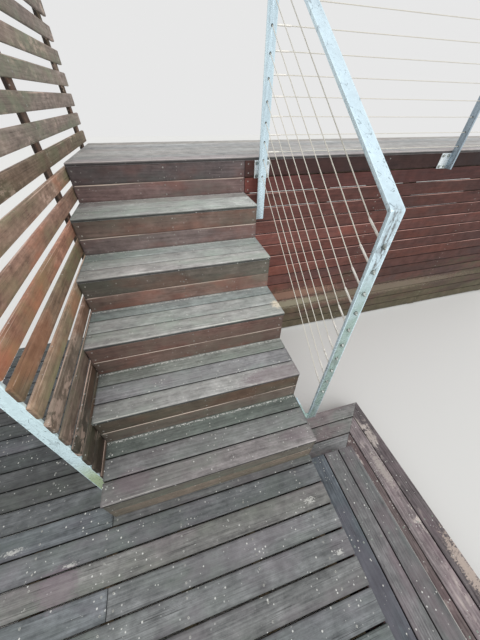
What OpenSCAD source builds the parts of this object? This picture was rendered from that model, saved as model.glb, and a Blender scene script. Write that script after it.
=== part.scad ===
// Outdoor deck stairs: five treads rise from a low deck to a high deck, between a
// slatted timber screen on the left and a tensioned-wire balustrade on the right.
// X runs to the right from the treads' left ends, Y runs from the first nosing
// towards the house and Z runs up from the ground.

/* [Stairs] */
// Clear width of the treads
stair_w = 1000; // [900:10:1200]
// Height of one step
rise = 200; // [190:1:210]
// Distance from one nosing to the next
going = 265; // [255:1:275]
// How far each riser sits behind the nosing above it
nosing = 3; // [2:1:8]
// How far each tread runs under the next riser
tread_lap = 17; // [15:1:18]
// Slit between the two boards of a riser
riser_slit = 1; // [1:1:3]
// Thickness of a stringer
stringer_t = 45; // [40:1:50]
// Timber left in a stringer under its notches, measured plumb
stringer_throat = 163; // [140:1:170]

/* [Boards] */
// Width of a decking board
board_w = 90; // [86:1:94]
// Thickness of a decking board
board_t = 19; // [18:1:22]
// Gap between decking boards
board_gap = 6; // [4:1:8]
// Gap between cladding boards
fascia_gap = 7; // [5:1:8]
// Gap at a mitre or at a butt joint
joint_gap = 2; // [1:1:3]

/* [Framing] */
// Thickness of joists, rims and ledgers
joist_t = 45; // [40:1:50]
// Height of the lower deck's joists
joist_h = 90; // [80:1:100]
// Height of the upper deck's joists
upper_joist_h = 140; // [120:1:150]
// Side of a square leg
leg_w = 90; // [80:1:100]
// Spacing of the lower deck's joists
joist_pitch = 300; // [280:5:310]
// Spacing of the upper deck's joists
upper_joist_pitch = 450; // [400:10:460]
// Height of the lower deck's bearers
bearer_h = 90; // [80:1:100]

/* [Lower deck] */
// Height of the lower deck's top above the ground
lower_top = 390; // [375:1:405]
// How far the lower deck runs out to the left of the stairs
lower_left = 800; // [700:10:900]
// How far the boards pass the right ends of the treads
lower_lip = 5; // [3:1:8]
// Full boards in front of the stairs
front_boards = 12; // [10:1:13]
// Where the nearest board starts in front of the first nosing
board_start = 28; // [24:1:32]
// Height of the boards that close the deck's front and left edge
edge_board_h = 140; // [120:1:150]

/* [Side steps] */
// Height of one side step
side_rise = 130; // [125:1:135]
// Right edge of the upper side step, from the treads' right ends
side_step_1 = 327; // [320:1:334]
// Right edge of the lower side step, from the treads' right ends
side_step_2 = 627; // [620:1:640]
// Back end of the upper side step, behind the first nosing
side_back_1 = 18; // [14:1:22]
// Back edge of the lower side step, behind the first nosing
side_back_2 = 317; // [312:1:325]
// Spacing of the supports under the side steps
side_pitch = 420; // [380:10:440]

/* [Upper deck] */
// Depth of the upper deck from its front edge to the wall
deck_depth = 805; // [780:5:850]
// How far the upper deck runs on past the last deck post
deck_past = 185; // [150:5:250]
// Number of cladding boards down the front
fascia_rows = 16; // [12:1:16]

/* [Balustrade] */
// Width of the flat bar
bar_w = 50; // [40:1:55]
// Thickness of the flat bar
bar_t = 12; // [10:1:14]
// Clear distance from the treads to the stair frame
frame_out = 75; // [65:1:90]
// Front face of the lower post, behind the first nosing
low_post_y = 179; // [165:1:185]
// Foot of the lower post above the lower deck
low_post_foot = 38; // [20:1:60]
// Height of the knee where post and handrail meet, above the lower deck
knee_h = 1235; // [1200:5:1260]
// Slope of the handrail in degrees
rail_angle = 35; // [33:0.5:37]
// Foot of the stair's top post above the lower deck
top_post_foot = 837; // [820:1:860]
// Distance from one deck post to the next
post_pitch = 1514; // [1450:2:1540]
// Height of the deck's top rail above the upper deck
guard_h = 1000; // [1000:10:1050]
// Thickness of a fixing plate
plate_t = 6; // [5:1:8]
// Side of a square fixing plate
plate_w = 100; // [90:1:110]
// How far a plate stands out to the left of its post
plate_left = 82; // [78:1:86]
// The same for the first post
plate_left_1 = 62; // [60:1:66]
// Thickness of the bracket at the lower post
bracket_t = 10; // [8:1:12]
// Length of the bracket's side plate
bracket_l = 120; // [100:1:130]

/* [Wires] */
// Diameter of the wire rope
wire_d = 4; // [3:0.5:5]
// Diameter of a swaged stud
stud_d = 8; // [7:0.5:9]
// Clearance round a wire or a stud in its hole
hole_clear = 0.4; // [0.3:0.1:0.6]
// Width of a nut across its corners
nut_d = 15; // [14:0.5:17]
// Thickness of a nut
nut_t = 6; // [5:0.5:8]
// Number of raking wires
rake_wires = 10; // [8:1:10]
// Highest nut on the lower post, below the knee
rake_knee = 107; // [95:1:120]
// Plumb spacing of the raking wires
rake_pitch = 89; // [85:0.5:90]
// Highest raking wire at the stair's top post, below the handrail
rake_rail = 85; // [75:1:95]
// Run of a stud behind the lower post's front face
stud_run = 97; // [80:1:110]
// Slope of the studs in degrees
stud_angle = 29; // [28:0.5:31]
// Lowest deck wire above the upper deck
deck_wire_0 = 25; // [20:1:35]
// Spacing of the deck wires
deck_wire_pitch = 84; // [80:0.5:86]
// Length of the level studs
deck_stud_l = 70; // [60:1:90]

/* [Screen] */
// Height of a slat
slat_h = 65; // [60:1:70]
// Spacing of the slats
slat_pitch = 100; // [90:1:105]
// Number of slats
slats_n = 22; // [18:1:23]
// Lowest slat above the lower deck
slat_0 = 12; // [8:1:20]
// Clear gap between the slats and the treads
slat_gap = 5; // [3:1:8]
// Near ends of the slats, behind the first nosing
slat_y0 = 130; // [120:1:134]
// Front face of the screen's post, behind the first nosing
screen_post_y = 135; // [134:1:160]
// Thickness of a batten
batten_t = 25; // [22:1:30]
// Width of a batten
batten_w = 45; // [40:1:50]
// Front of the middle batten, behind the first nosing
batten_1 = 1138; // [1100:1:1150]
// Gap between the wall batten and the wall
batten_wall_gap = 45; // [30:1:80]

/* [Hidden] */

pitch = board_w + board_gap;
treads_n = 5;
upper_top = lower_top + (treads_n + 1) * rise;
deck_y = treads_n * going;
fascia_y = deck_y + nosing;
rim_y = fascia_y + board_t;
wall_y = deck_y + deck_depth;
frame_x = stair_w + frame_out;
post_x = frame_x + bar_w;
last_post_x = post_x + 2 * post_pitch;
deck_x = last_post_x + bar_t + deck_past;
// Treads and risers
tread_board_w = (going + tread_lap - 2 * board_gap) / 3;
riser_board_h = (rise - board_t - riser_slit) / 2;
riser_back = nosing + board_t;
mid_x = stair_w / 2 - stringer_t / 2;
end_x = stair_w - stringer_t;
// Lower deck
lower_x = stair_w + lower_lip;
lower_y = -board_start - front_boards * pitch;
lower_n = front_boards + floor((deck_y + board_start + board_gap) / pitch);
lower_end = lower_y + lower_n * pitch - board_gap;
lower_under = lower_top - board_t;
joist_z = lower_under - joist_h;
bearer_z = joist_z - bearer_h;
seam_x = -10;
// Side steps
s1_top = lower_top - side_rise;
s2_top = lower_top - 2 * side_rise;
s1_x = stair_w + side_step_1;
s2_x = stair_w + side_step_2;
mitre = s2_x - side_back_2;
s1_x0 = s1_x - 4 * pitch + board_gap;
s2_x0 = s2_x - 4 * pitch + board_gap;
side_x = lower_x - board_t;
leg_x = s1_x0 - 9 - leg_w / 2;
// Balustrade
post_back = fascia_y - plate_t;
post_y = post_back - bar_w;
rail_drop = bar_t / cos(rail_angle);
knee_z = lower_top + knee_h;
wire_x = frame_x + bar_w / 2;
wire_y = post_y + bar_w / 2;
plate_top = upper_top - board_t;
guard_z = upper_top + guard_h;
// Screen
slat_x = -slat_gap - board_t;
screen_top = lower_top + slat_0 + (slats_n - 1) * slat_pitch + slat_h;

wood_grey = [0.42, 0.39, 0.36];
wood_red = [0.36, 0.20, 0.17];
wood_slate = [0.34, 0.34, 0.36];
frame_wood = [0.50, 0.42, 0.32];
steel = [0.72, 0.78, 0.80];

// Box from one corner to the opposite corner
module block(a, b) {
    translate(a)
        cube(b - a);
}

// Board lying along X
module x_board(x0, x1, y0, w, top, t = board_t) {
    block([x0, y0, top - t], [x1, y0 + w, top]);
}

// Closed outline in the Y-Z plane, extruded along X
module side_plate(x0, t, points) {
    translate([x0, 0, 0])
        rotate([90, 0, 90])
            linear_extrude(t)
                polygon(points);
}

// Outline of a rail's top line at a distance behind the first nosing
function rail_z(y) = knee_z + (y - low_post_y) * tan(rail_angle);

// Tread i of three boards, its nosing over the riser below
module tread(i) {
    color(wood_grey)
        for (b = [0:2])
            x_board(0, stair_w, (i - 1) * going + b * (tread_board_w + board_gap),
                    tread_board_w, lower_top + i * rise);
}

// Two boards on edge under every nosing, the last under the upper deck's edge
module risers() {
    color(wood_red)
        for (i = [0:treads_n], b = [0:1])
            translate([0, i * going + nosing,
                       lower_top + i * rise + b * (riser_board_h + riser_slit)])
                cube([stair_w, board_t, riser_board_h]);
}

// Notched stringer, cut to the steps, level at its foot and plumb at its head
module stringer(x0) {
    slope = rise / going;
    head = treads_n * going + riser_back;
    low = function(y) (y - riser_back) * slope - board_t - stringer_throat;
    foot_y = riser_back + (board_t + stringer_throat) / slope;
    steps = [for (i = [1:treads_n], e = [0:1])
        [riser_back + (i - 1 + e) * going, lower_top + i * rise - board_t]];
    color(frame_wood)
        side_plate(x0, stringer_t, concat([[riser_back, lower_top]], steps,
            [[head, lower_top + low(head)], [foot_y, lower_top]]));
}

// Cross rail between the front legs that the middle stringer leans on
module stringer_header() {
    top = lower_top + treads_n * rise - board_t;
    color(frame_wood)
        block([leg_w, rim_y, top - upper_joist_h], [end_x, rim_y + joist_t, top]);
}

// Boards along X, every third one with a butt joint over a joist
module lower_deck_boards() {
    color(wood_slate)
        for (i = [0:lower_n - 1])
            let (y = lower_y + i * pitch)
                if (i % 3 == front_boards % 3) {
                    x_board(-lower_left, seam_x - joint_gap / 2, y, board_w, lower_top);
                    x_board(seam_x + joint_gap / 2, lower_x, y, board_w, lower_top);
                } else {
                    x_board(-lower_left, lower_x, y, board_w, lower_top);
                }
}

lower_joists = concat([-lower_left + board_t + joist_t / 2],
    [for (x = seam_x - 2 * joist_pitch; x < leg_x - joist_pitch / 2; x = x + joist_pitch) x], [leg_x]);

// Joists along Y, one of them under the butt joints
module lower_deck_joists() {
    color(frame_wood)
        for (x = lower_joists)
            block([x - joist_t / 2, lower_y + board_t, joist_z],
                  [x + joist_t / 2, lower_end, lower_under]);
}

bearer_rows = [lower_y + board_t + leg_w / 2, 0, lower_end - leg_w / 2];

// Bearers along X across the legs
module lower_deck_bearers() {
    color(frame_wood)
        for (y = bearer_rows)
            block([-lower_left + board_t, y - joist_t / 2, bearer_z],
                  [leg_x + leg_w / 2, y + joist_t / 2, joist_z]);
}

// Short legs, one of them under the left end of the first nosing, and studs that
// carry the boards on the right side
module lower_deck_legs() {
    y0 = side_back_1 + joint_gap;
    y1 = lower_end - joist_t;
    color(frame_wood) {
        for (x = [-lower_left + board_t + leg_w / 2, 0, leg_x], y = bearer_rows)
            block([x - leg_w / 2, y - leg_w / 2, 0], [x + leg_w / 2, y + leg_w / 2, bearer_z]);
        for (y = [y0, (y0 + y1) / 2, y1])
            block([side_x - joist_t, y, 0], [side_x, y + joist_t, lower_under]);
    }
}

// Boards on edge round the front and the left of the deck
module lower_deck_edge_boards() {
    color(wood_red) {
        block([-lower_left, lower_y, lower_under - edge_board_h],
              [s1_x0 - joint_gap, lower_y + board_t, lower_under]);
        block([-lower_left, lower_y + board_t + joint_gap, lower_under - edge_board_h],
              [-lower_left + board_t, lower_end, lower_under]);
    }
}

// Riser board over the side step, then rows of boards down to the ground
module lower_deck_side_boards() {
    color(wood_red) {
        block([side_x, lower_y, s1_top], [lower_x, side_back_1, lower_under]);
        for (top = [lower_under:-(board_w + fascia_gap):20])
            block([side_x, side_back_1 + joint_gap, max(top - board_w, 10)],
                  [lower_x, lower_end, top]);
    }
}

// Four boards along Y, the first running in under the deck's riser
module upper_side_step_boards() {
    color(wood_slate)
        for (k = [0:3])
            block([s1_x0 + k * pitch, lower_y, s1_top - board_t],
                  [s1_x0 + k * pitch + board_w, side_back_1, s1_top]);
}

// Riser boards under the nosings of the upper side step
module upper_side_step_risers() {
    x = s1_x - nosing;
    y = side_back_1 - nosing;
    color(wood_red) {
        block([x - board_t, lower_y, s2_top], [x, y, s1_top - board_t]);
        block([lower_x, y - board_t, s2_top], [x - board_t - joint_gap, y, s1_top - board_t]);
    }
}

// Cross supports of the upper side step, down to the ground
module upper_side_step_supports() {
    y1 = side_back_2 - 4 * pitch - joist_t;
    n = ceil((y1 - lower_y) / side_pitch);
    color(frame_wood)
        for (j = [0:n])
            let (y = lower_y + j * (y1 - lower_y) / n)
                block([lower_x, y, 0], [s2_x0 - joint_gap, y + joist_t, s1_top - board_t]);
}

// Four boards along Y, cut at 45 degrees at their back ends
module lower_side_step_boards() {
    color(wood_slate)
        for (k = [0:3])
            let (x = s2_x0 + k * pitch)
                translate([0, 0, s2_top - board_t])
                    linear_extrude(board_t)
                        polygon([[x, lower_y], [x + board_w, lower_y],
                                 [x + board_w, x + board_w - mitre], [x, x - mitre]]);
}

// Four boards along X that meet them at the mitre and run to the stairs' side
module lower_side_step_return_boards() {
    color(wood_slate)
        for (k = [0:3])
            let (x = s2_x0 + k * pitch, y = x - mitre, x1 = x - joint_gap)
                translate([0, 0, s2_top - board_t])
                    linear_extrude(board_t)
                        polygon([[lower_x, y], [x1, y], [x1 + board_w, y + board_w],
                                 [lower_x, y + board_w]]);
}

// Riser boards under the nosings of the lower side step
module lower_side_step_risers() {
    x = s2_x - nosing;
    y = side_back_2 - nosing;
    color(wood_red) {
        block([x - board_t, lower_y, 0], [x, y, s2_top - board_t]);
        block([lower_x, y - board_t, 0], [x - board_t - joint_gap, y, s2_top - board_t]);
    }
}

// Supports of the lower side step: across its side boards, then across its return
module lower_side_step_supports() {
    z = s2_top - board_t;
    x1 = s2_x - nosing - board_t;
    y1 = side_back_2 - nosing - board_t;
    ya = side_back_2 - 4 * pitch - joist_t;
    n = ceil((ya - lower_y) / side_pitch);
    color(frame_wood) {
        for (j = [0:n])
            let (y = lower_y + j * (ya - lower_y) / n)
                block([s2_x0, y, 0], [x1, y + joist_t, z]);
        for (x = [lower_x + joist_t, (lower_x + s2_x0) / 2, s2_x0])
            block([x, ya + joist_t + board_gap, 0], [x + joist_t, y1, z]);
        block([s2_x0 + joist_t + board_gap, y1 - 2 * board_w, 0], [x1, y1 - 2 * board_w + joist_t, z]);
    }
}

// Boards along X from the front edge to the wall, the last one ripped to fit
module upper_deck_boards() {
    n = ceil(deck_depth / pitch);
    color(wood_grey)
        for (i = [0:n - 1])
            let (y = deck_y + i * pitch)
                x_board(0, deck_x, y, min(board_w, wall_y - y), upper_top);
}

// Joists along Y between the rim and the ledger
module upper_deck_joists() {
    span = deck_x - board_t - joist_t;
    n = ceil(span / upper_joist_pitch);
    color(frame_wood)
        for (i = [0:n])
            let (x = i * span / n)
                block([x, rim_y + joist_t, plate_top - upper_joist_h],
                      [x + joist_t, wall_y - joist_t, plate_top]);
}

// Rim behind the cladding
module upper_deck_rim() {
    color(frame_wood)
        block([0, rim_y, plate_top - upper_joist_h], [deck_x - board_t, rim_y + joist_t, plate_top]);
}

// Ledger along the wall
module upper_deck_ledger() {
    color(frame_wood)
        block([0, wall_y - joist_t, plate_top - upper_joist_h],
              [deck_x - board_t, wall_y, plate_top]);
}

leg_rows = [0, end_x, end_x + (deck_x - board_t - leg_w - end_x) / 3,
            end_x + 2 * (deck_x - board_t - leg_w - end_x) / 3, deck_x - board_t - leg_w];

// Row of legs with its front faces at y
module leg_row(y) {
    color(frame_wood)
        for (x = leg_rows)
            block([x, y, 0], [x + leg_w, y + leg_w, plate_top - upper_joist_h]);
}

// Level cladding boards down the front, from the deck's underside to the ground
module front_fascia() {
    color(wood_red)
        for (i = [0:fascia_rows - 1])
            let (top = plate_top - i * (board_w + fascia_gap))
                block([stair_w + joint_gap, fascia_y, top - board_w], [deck_x, rim_y, top]);
}

// The same boards round the right end
module end_fascia() {
    color(wood_red)
        for (i = [0:fascia_rows - 1])
            let (top = plate_top - i * (board_w + fascia_gap))
                block([deck_x - board_t, rim_y, top - board_w], [deck_x, wall_y, top]);
}

function rake_nut(k) = knee_z - rake_knee - k * rake_pitch;
function rake_far(k) = rail_z(post_y) - rail_drop - rake_rail - k * rake_pitch;
stud_tip = [low_post_y + stud_run, stud_run * tan(stud_angle)];

// Bar of round section from a to b, both [y, z] in the plane of the raking wires
module rake_rod(a, b, d) {
    run = b - a;
    translate([wire_x, a[0], a[1]])
        rotate([-atan2(run[0], run[1]), 0, 0])
            cylinder(h = norm(run), d = d, $fn = 32);
}

// Holes for the raking studs through the lower post
module stud_holes() {
    for (k = [0:rake_wires - 1])
        let (z = rake_nut(k), t = tan(stud_angle))
            rake_rod([low_post_y - bar_t, z - bar_t * t], [low_post_y + 2 * bar_t, z + 2 * bar_t * t],
                     stud_d + 2 * hole_clear);
}

// Slope of one raking wire from its stud's tip to the top post
function wire_slope(k) = (rake_far(k) - rake_nut(k) - stud_tip[1]) / (post_y - stud_tip[0]);

// Holes for the raking wires through the stair's top post
module rake_holes() {
    for (k = [0:rake_wires - 1])
        let (z = rake_far(k), s = wire_slope(k))
            rake_rod([post_y - bar_t, z - bar_t * s], [post_y + 2 * bar_t, z + 2 * bar_t * s],
                     wire_d + 2 * hole_clear);
}

// Lower post: flat bar, mitred at the knee and drilled for the studs
module stair_lower_post() {
    a = low_post_y;
    b = low_post_y + bar_t;
    foot = lower_top + low_post_foot;
    color(steel)
        difference() {
            side_plate(frame_x, bar_w,
                       [[a, foot], [b, foot], [b, rail_z(b) - rail_drop], [a, rail_z(a)]]);
            stud_holes();
        }
}

// Side plate on the stringer with an arm out to the lower post
module lower_post_bracket() {
    foot = lower_top + low_post_foot;
    mid = low_post_y + bar_t / 2;
    color(steel) {
        block([stair_w, mid - bracket_l / 2, lower_top],
              [stair_w + bracket_t, mid + bracket_l / 2, lower_top + rise]);
        block([stair_w + bracket_t, low_post_y, foot], [frame_x, low_post_y + bar_t, foot + bar_w]);
    }
}

// Handrail: the same flat bar, mitred to both posts
module stair_handrail() {
    a = low_post_y;
    b = low_post_y + bar_t;
    c = post_y;
    d = post_y + bar_t;
    color(steel)
        side_plate(frame_x, bar_w, [[a, rail_z(a)], [b, rail_z(b) - rail_drop],
                                    [c, rail_z(c) - rail_drop], [d, rail_z(d)]]);
}

// Top post of the stair frame, against the first deck post
module stair_top_post() {
    c = post_y;
    d = post_y + bar_t;
    foot = lower_top + top_post_foot;
    color(steel)
        difference() {
            side_plate(frame_x, bar_w,
                       [[c, foot], [d, foot], [d, rail_z(d)], [c, rail_z(c) - rail_drop]]);
            rake_holes();
        }
}

// Part of a tilted nut on the far side of a post's face at y
module nut(a, b, y, side) {
    intersection() {
        rake_rod(a, b, nut_d, $fn = 6);
        translate([wire_x - nut_d, y - (side < 0 ? 4 * nut_d : 0), a[1] - 4 * nut_d])
            cube([2 * nut_d, 4 * nut_d, 8 * nut_d]);
    }
}

// Raking wires: stud through the lower post, swaged to a wire that ends behind the top post
module stair_wires() {
    t = tan(stud_angle);
    color(steel)
        for (k = [0:rake_wires - 1])
            let (z = rake_nut(k), far = rake_far(k), s = wire_slope(k),
                 tip = [stud_tip[0], z + stud_tip[1]]) {
                rake_rod([low_post_y - nut_t, z - nut_t * t], tip, stud_d);
                rake_rod([tip[0] - 4, tip[1] - 4 * t], [post_y + bar_t + nut_t, far + (bar_t + nut_t) * s],
                         wire_d);
                nut([low_post_y - nut_t, z - nut_t * t], [low_post_y + nut_t, z + nut_t * t],
                    low_post_y, -1);
                nut([post_y + bar_t - nut_t, far + (bar_t - nut_t) * s],
                    [post_y + bar_t + nut_t, far + (bar_t + nut_t) * s], post_y + bar_t, 1);
            }
}

// As many level wires as fit under the top rail
deck_wires_n = 1 + floor((guard_h - bar_t - deck_wire_0 - nut_d) / deck_wire_pitch);

function deck_wire_z(k) = upper_top + deck_wire_0 + k * deck_wire_pitch;

// Upright flat bar on edge at x, drilled through for the deck wires
module deck_post(x, hole_d) {
    color(steel)
        difference() {
            block([x, post_y, plate_top - plate_w], [x + bar_t, post_back, guard_z - bar_t]);
            for (k = [0:deck_wires_n - 1])
                translate([x - bar_t, wire_y, deck_wire_z(k)])
                    rotate([0, 90, 0])
                        cylinder(h = 3 * bar_t, d = hole_d + 2 * hole_clear, $fn = 32);
        }
}

// Square plates on the cladding, one behind each deck post
module post_plates() {
    color(steel)
        for (i = [0:2])
            let (x = post_x + i * post_pitch - (i == 0 ? plate_left_1 : plate_left))
                block([x, post_back, plate_top - plate_w], [x + plate_w, fascia_y, plate_top]);
}

// Level rail over the deck posts
module deck_top_rail() {
    color(steel)
        block([post_x, post_y, guard_z - bar_t],
              [last_post_x + bar_t, post_back, guard_z]);
}

// Level rod of diameter d from x0 to x1 at height z
module level_rod(x0, x1, z, d, sides = 32) {
    translate([x0, wire_y, z])
        rotate([0, 90, 0])
            cylinder(h = x1 - x0, d = d, $fn = sides);
}

// Level wires through the middle post, with a stud and a nut at both ends
module deck_wires() {
    x1 = last_post_x + bar_t;
    color(steel)
        for (k = [0:deck_wires_n - 1])
            let (z = deck_wire_z(k)) {
                level_rod(post_x - nut_t, post_x, z, nut_d, 6);
                level_rod(post_x - nut_t, post_x + bar_t + deck_stud_l, z, stud_d);
                level_rod(post_x + bar_t, x1, z, wire_d);
                level_rod(x1 - bar_t - deck_stud_l, x1 + nut_t, z, stud_d);
                level_rod(x1, x1 + nut_t, z, nut_d, 6);
            }
}

// Level slats beside the stairs, from the lower deck up past the upper one
module screen_slats() {
    color(wood_red)
        for (k = [0:slats_n - 1])
            let (z = lower_top + slat_0 + k * slat_pitch)
                block([slat_x, slat_y0, z], [slat_x + board_t, wall_y, z + slat_h]);
}

// Near post of the screen
module screen_post() {
    color(steel)
        block([slat_x - bar_w, screen_post_y, lower_top],
              [slat_x, screen_post_y + bar_t, screen_top]);
}

// Upright batten behind the slats
module batten(y, foot) {
    color(wood_red)
        block([slat_x - batten_t, y, foot], [slat_x, y + batten_w, screen_top]);
}

tread(1);  // tread_1
tread(2);  // tread_2
tread(3);  // tread_3
tread(4);  // tread_4
tread(5);  // tread_5
risers();
stringer(0);  // left_stringer
stringer(mid_x);  // middle_stringer
stringer(end_x);  // right_stringer
stringer_header();
lower_deck_boards();
lower_deck_joists();
lower_deck_bearers();
lower_deck_legs();
lower_deck_edge_boards();
lower_deck_side_boards();
upper_side_step_boards();
upper_side_step_risers();
upper_side_step_supports();
lower_side_step_boards();
lower_side_step_return_boards();
lower_side_step_risers();
lower_side_step_supports();
upper_deck_boards();
upper_deck_joists();
upper_deck_rim();
upper_deck_ledger();
leg_row(rim_y);  // upper_deck_front_legs
leg_row(wall_y - leg_w);  // upper_deck_back_legs
front_fascia();
end_fascia();
stair_lower_post();
lower_post_bracket();
stair_handrail();
stair_top_post();
stair_wires();
deck_post(post_x, stud_d);  // deck_post_1
deck_post(post_x + post_pitch, wire_d);  // deck_post_2
deck_post(last_post_x, stud_d);  // deck_post_3
post_plates();
deck_top_rail();
deck_wires();
screen_slats();
screen_post();
batten(batten_1, lower_top);  // screen_middle_batten
batten(wall_y - batten_wall_gap - batten_w, 0);  // screen_wall_batten
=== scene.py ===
# %% [markdown]
# # Weathered deck stairs with a wire balustrade
#
# Five treads rise between a slatted screen and a balustrade of steel bar and
# tensioned wire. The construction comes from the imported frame. This lesson
# models each board, bar, wire and screw over it with Blender's own operators,
# and gives them stained, worn timber and galvanised steel. Lengths on the object
# are written in millimetres, and MM turns them into Blender's metres.

import math
import random
import bpy
from mathutils import Matrix, Vector


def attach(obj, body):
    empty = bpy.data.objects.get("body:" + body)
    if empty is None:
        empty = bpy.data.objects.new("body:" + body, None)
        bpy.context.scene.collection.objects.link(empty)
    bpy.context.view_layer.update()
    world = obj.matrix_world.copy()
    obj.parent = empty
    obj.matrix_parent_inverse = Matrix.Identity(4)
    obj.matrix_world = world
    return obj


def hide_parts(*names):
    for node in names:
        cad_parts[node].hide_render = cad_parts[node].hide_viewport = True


MM = 0.001
RISE, GOING, NOSING = 200, 265, 3
BOARD, THICK, PITCH = 90, 19, 96
STAIR_WIDTH, LOW_TOP, HIGH_TOP = 1000, 390, 1590
FRONT, WALL, LEFT, RIGHT, LIP = -1180, 2130, -800, 4350, 1005
DECK_Y = 5 * GOING
CLAD_Y = DECK_Y + NOSING

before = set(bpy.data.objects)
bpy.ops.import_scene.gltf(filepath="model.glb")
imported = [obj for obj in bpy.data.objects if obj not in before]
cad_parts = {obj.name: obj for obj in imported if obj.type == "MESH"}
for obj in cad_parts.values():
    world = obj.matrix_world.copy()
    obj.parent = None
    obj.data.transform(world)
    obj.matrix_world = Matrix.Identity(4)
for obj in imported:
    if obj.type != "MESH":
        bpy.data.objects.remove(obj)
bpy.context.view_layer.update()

# %% [markdown]
# ## Camera
#
# A wide lens looks down the flight from above its foot, so the treads spread
# below it and the posts lean apart. Its place was fitted to the corners of the
# treads, posts and boards, and the same numbers set it again on every run.

# %% Camera
yaw, pitch, roll = 0.29221, -0.72728, 0.01837
focal_px, picture_height_px, sensor_mm = 247.404, 640, 36
eye = (0.4695, -0.39145, 1.85102)
ahead = Vector((math.sin(yaw) * math.cos(pitch), math.cos(yaw) * math.cos(pitch), math.sin(pitch)))
side = Vector((math.cos(yaw), -math.sin(yaw), 0))
over = side.cross(ahead)
across = side * math.cos(roll) + over * math.sin(roll)
upward = over * math.cos(roll) - side * math.sin(roll)

bpy.ops.object.camera_add()
camera = bpy.context.object
camera.name = "stairs_camera"
camera.matrix_world = Matrix.Translation(eye) @ Matrix((across, upward, -ahead)).transposed().to_4x4()
camera.data.sensor_width = sensor_mm
camera.data.lens = focal_px * sensor_mm / picture_height_px
camera.data.clip_start = 0.05
bpy.context.scene.camera = camera
bpy.context.scene.view_settings.view_transform = "Standard"
print("lens", round(camera.data.lens, 2), "mm")

# %% [markdown]
# ## Node helpers
#
# A finish is a small network of nodes. These helpers add one node at a time to
# the tree in hand and link it, so each finish below reads as a list of layers.
# Colours are written as they would be picked on a screen, and turned into light
# values here.

# %% Node helpers
def paint(red, green, blue):
    linear = [((v / 255 + 0.055) / 1.055) ** 2.4 for v in (red, green, blue)]
    return (*linear, 1.0)


def group(name, inputs, outputs):
    made = bpy.data.node_groups.new(name, "ShaderNodeTree")
    for way, kinds in (("INPUT", inputs), ("OUTPUT", outputs)):
        for kind, labels in kinds.items():
            for label in labels.split(", "):
                made.interface.new_socket(label, in_out=way, socket_type="NodeSocket" + kind)
    return made, made.nodes.new("NodeGroupInput").outputs, made.nodes.new("NodeGroupOutput").inputs


def new_finish(name):
    finish = bpy.data.materials.new(name)
    finish.use_nodes = True
    return finish, finish.node_tree, finish.node_tree.nodes["Principled BSDF"].inputs


def node(kind, sockets=None, **settings):
    made = tree.nodes.new(kind)
    for key, value in settings.items():
        setattr(made, key, value)
    fill(made.inputs, sockets or {})
    return made


def fill(inputs, values):
    for key, value in values.items():
        if isinstance(value, bpy.types.NodeSocket):
            tree.links.new(value, inputs[key])
        else:
            inputs[key].default_value = value


def calc(operation, a, b=0.0, clamp=False):
    return node("ShaderNodeMath", {0: a, 1: b}, operation=operation, use_clamp=clamp).outputs[0]


def times(a, b, clamp=False):
    return calc("MULTIPLY", a, b, clamp)


def plus(a, b, clamp=False):
    return calc("ADD", a, b, clamp)


def minus(a, b):
    return calc("SUBTRACT", a, b)


def around(value, gain, middle=0.5):
    return times(minus(value, middle), gain)


def split(vector):
    return node("ShaderNodeSeparateXYZ", {0: vector}).outputs


def stretch(vector, scales):
    return node("ShaderNodeVectorMath", {0: vector, 1: scales}, operation="MULTIPLY").outputs[0]


def brighten(colour, factor):
    return node("ShaderNodeVectorMath", {0: colour, 3: factor}, operation="SCALE").outputs[0]


def noise(vector, scales, detail=3.0, roughness=0.55, distortion=0.0):
    return node("ShaderNodeTexNoise", {"Vector": stretch(vector, scales), "Scale": 1.0, "Detail": detail,
                                       "Roughness": roughness, "Distortion": distortion}).outputs["Fac"]


def window(value, low, high):
    return node("ShaderNodeMapRange", {"Value": value, "From Min": low, "From Max": high},
                interpolation_type="SMOOTHSTEP").outputs[0]


def mixed(share, a, b, how="MIX"):
    return node("ShaderNodeMix", {0: share, 6: a, 7: b}, data_type="RGBA", blend_type=how).outputs[2]


def cells(vector, scale):
    made = node("ShaderNodeTexVoronoi", {"Vector": vector, "Scale": scale}).outputs
    return made["Distance"], node("ShaderNodeSeparateColor", {0: made["Color"]}).outputs[0]


def attribute(name, output="Fac"):
    return node("ShaderNodeAttribute", attribute_name=name).outputs[output]


def bump(height, strength, depth):
    return node("ShaderNodeBump", {"Strength": strength, "Distance": depth, "Height": height}).outputs[0]


# %% [markdown]
# ## Weathered board
#
# Every board here is stained timber that has greyed outdoors. Up close it has
# fine fibres, wider streaks, arching rings, dark drying checks and pale specks;
# from further off, cloudy stains cross the boards. The arrises are painted pale:
# wear where feet tread, and a painted highlight where light catches the top
# arrises of risers and cladding. The faces down in the gaps are painted dark,
# painted shade. One group builds all of it from each board's own grain
# coordinates, so the figure runs along every board and never repeats on the
# next. A picture texture would be quicker, but it would tile, so the group was
# preferred.

# %% Weathered board group
tree, given, board_out = group("weathered board", {
    "Vector": "Grain, Place", "Color": "Tint, Pale, Dark, Stain, Bloom, Worn",
    "Float": "Edge, Stain share, Bloom share, Wear share, Figure share, Speck share, Check share, Peel share, "
             "Mottle share, Damp height, Dust share"}, {"Color": "Color", "Float": "Roughness, Height"})
board_tree, grain, place = tree, given["Grain"], given["Place"]
where = split(place)

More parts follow.
